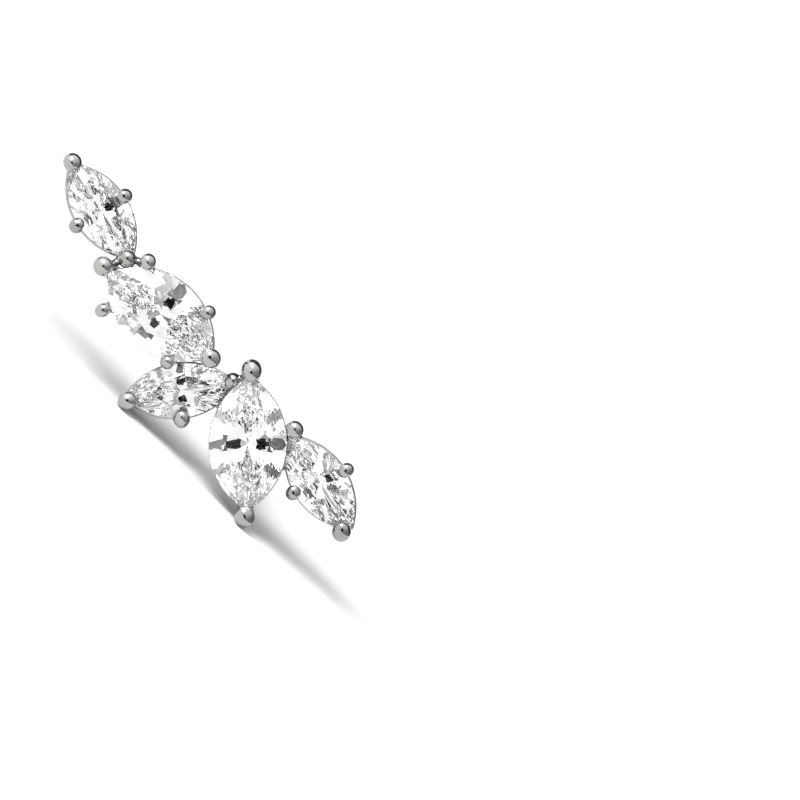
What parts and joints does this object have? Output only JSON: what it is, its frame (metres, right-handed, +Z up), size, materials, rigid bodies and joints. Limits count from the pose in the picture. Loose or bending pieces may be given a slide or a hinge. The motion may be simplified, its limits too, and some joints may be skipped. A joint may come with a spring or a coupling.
{
  "type": "stud earring",
  "caption": "Climber stud earring: a curved spray of marquise stones in claw prongs and open wire baskets, with a straight ear post behind.",
  "frame": {"origin": "middle of the part's box, on the surface that it rests on", "axes": "+Z up, -Y towards the side that the stones face, +X along the row of stones towards its lower end"},
  "size_m": [0.0174, 0.012, 0.0059],
  "materials": {
    "white_metal": "polished bright white metal, faintly warm",
    "clear_stone": "clear, brilliant-cut and polished"
  },
  "bodies": {
    "root": {"setting": "white_metal", "stone_top": "clear_stone", "stone_upper": "clear_stone", "stone_side": "clear_stone", "stone_lower": "clear_stone", "stone_outer": "clear_stone"}
  },
  "joints": []
}
